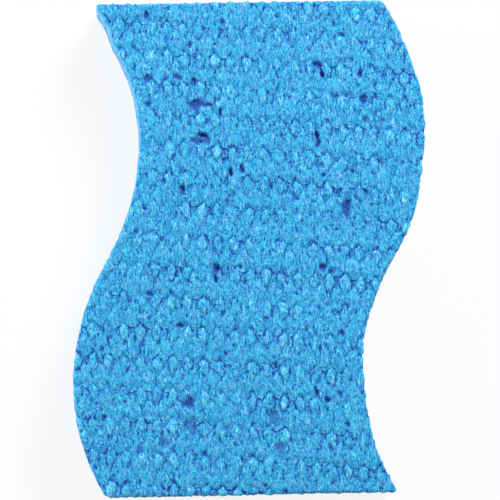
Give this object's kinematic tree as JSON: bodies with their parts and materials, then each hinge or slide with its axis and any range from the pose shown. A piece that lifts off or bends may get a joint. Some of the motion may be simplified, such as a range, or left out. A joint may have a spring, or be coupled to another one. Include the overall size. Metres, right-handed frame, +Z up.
{
  "type": "cleaning sponge",
  "caption": "Flat blue cellulose cleaning sponge with two wavy sides, straight ends and a knitted relief over its upper face.",
  "frame": {"origin": "middle of the underside, where the sponge lies on a surface", "axes": "+Y along the sponge from its near straight end to its far one, +X across it toward its right wavy side, +Z up out of the knitted face"},
  "size_m": [0.081, 0.112, 0.016],
  "materials": {
    "cellulose": "dry, matt, sky-blue cellulose foam with open pores and a knitted relief"
  },
  "bodies": {
    "root": {"sponge": "cellulose"}
  },
  "joints": []
}
